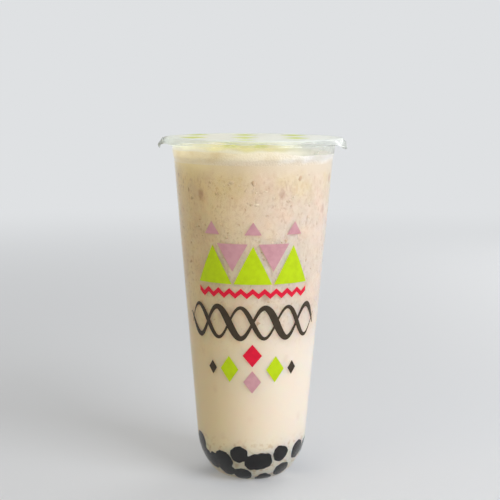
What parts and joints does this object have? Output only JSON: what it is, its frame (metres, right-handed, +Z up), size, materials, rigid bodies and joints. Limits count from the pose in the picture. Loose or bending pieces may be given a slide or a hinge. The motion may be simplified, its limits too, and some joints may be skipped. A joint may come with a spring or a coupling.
{
  "type": "iced chai latte with tapioca pearls in a film-sealed cup",
  "caption": "Milky iced chai with tapioca pearls in a tall clear tapered cup with a rounded base, closed by a heat-sealed printed film.",
  "frame": {"origin": "centre of the cup's flat foot, on the surface it stands on", "axes": "+Z up along the cup's axis, -Y towards the printed front, and the film's two crumpled ears point along +X and -X"},
  "size_m": [0.0991, 0.0931, 0.18],
  "materials": {
    "clear_polypropylene": "clear, glossy, slightly hazy injection-moulded polypropylene",
    "printed_film": "thin glossy sealing film with lime and pink print",
    "foam": "pale wet milk foam",
    "tea": "opaque milky tea",
    "tapioca": "near-black wet cooked tapioca"
  },
  "bodies": {
    "root": {"cup": "clear_polypropylene", "seal_film": "printed_film", "milk_foam": "foam", "milk_tea": "tea", "tapioca_pearls": "tapioca"}
  },
  "joints": []
}
